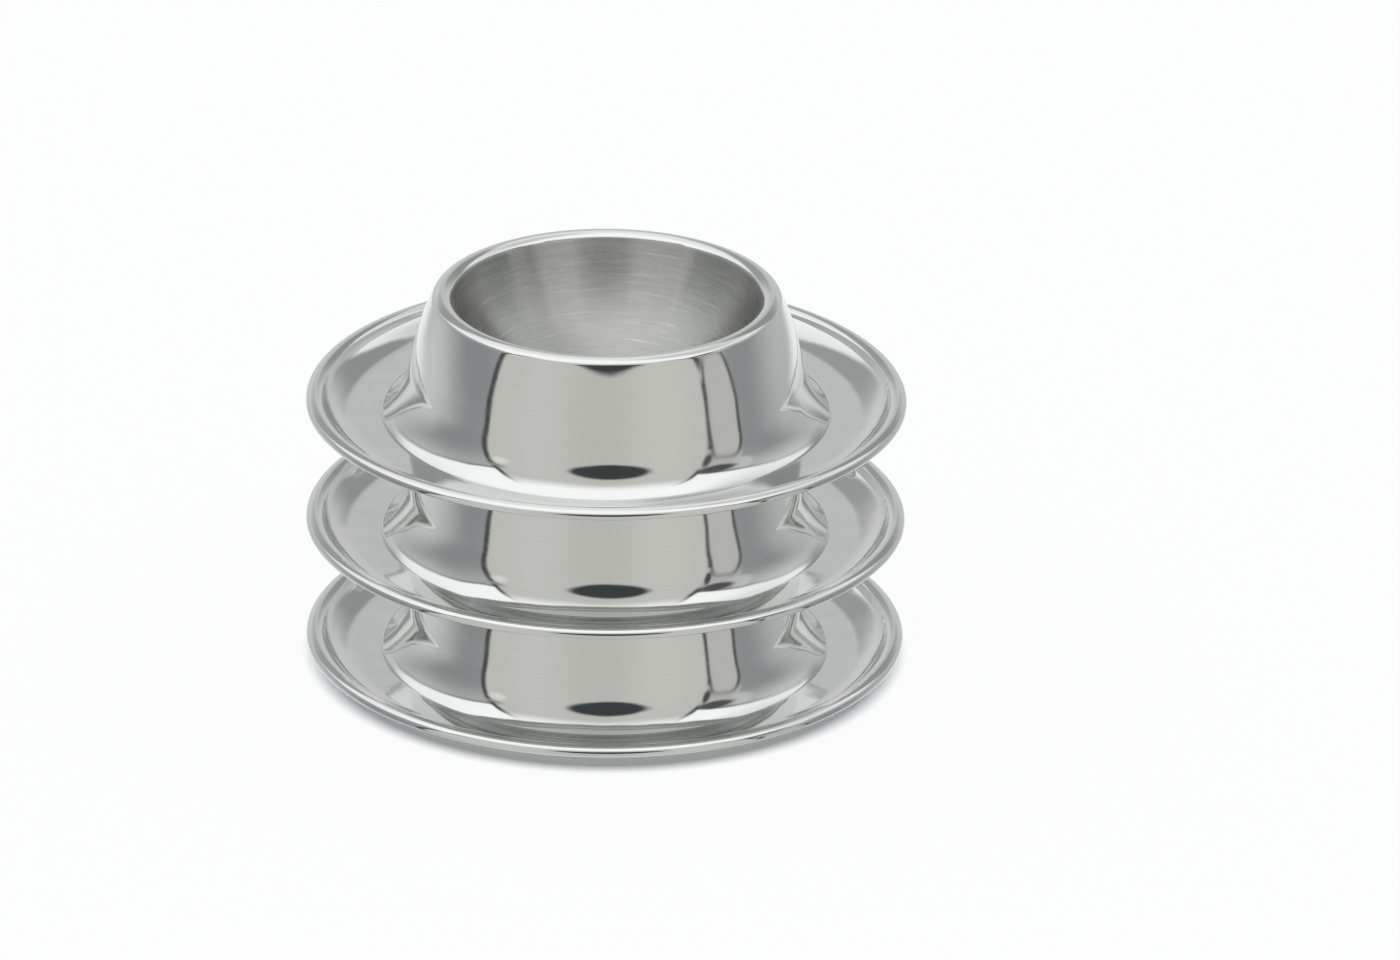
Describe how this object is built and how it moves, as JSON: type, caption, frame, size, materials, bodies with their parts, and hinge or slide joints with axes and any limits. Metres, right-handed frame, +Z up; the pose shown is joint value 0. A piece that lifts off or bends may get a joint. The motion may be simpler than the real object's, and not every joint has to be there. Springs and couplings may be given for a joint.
{
  "type": "egg cup stack",
  "caption": "Stack of low steel egg cups, each a domed ring with a rolled rim and a ball-shaped bowl on a wide built-on saucer with a raised lip.",
  "frame": {"origin": "on the table, under the middle of the stack", "axes": "+Z up along the stack's axis; every cup is round about it, and -Y is the side that faces the camera of the picture"},
  "size_m": [0.085, 0.085, 0.0548],
  "materials": {
    "polished_steel": "mirror-polished stainless steel sheet",
    "brushed_steel": "satin stainless steel with fine circular brushing",
    "plate_steel": "plain bright stainless steel sheet"
  },
  "bodies": {
    "bottom_cup": {"bottom_shell": "polished_steel", "bottom_bowl": "brushed_steel", "bottom_base_plate": "plate_steel"},
    "middle_cup": {"middle_shell": "polished_steel", "middle_bowl": "brushed_steel", "middle_base_plate": "plate_steel"},
    "top_cup": {"top_shell": "polished_steel", "top_bowl": "brushed_steel", "top_base_plate": "plate_steel"}
  },
  "joints": [
    {"name": "middle_lift", "type": "slide", "parent": "bottom_cup", "child": "middle_cup", "axis": [0, 0, 1], "range_m": [0, 0.05]},
    {"name": "top_lift", "type": "slide", "parent": "middle_cup", "child": "top_cup", "axis": [0, 0, 1], "range_m": [0, 0.05]}
  ]
}
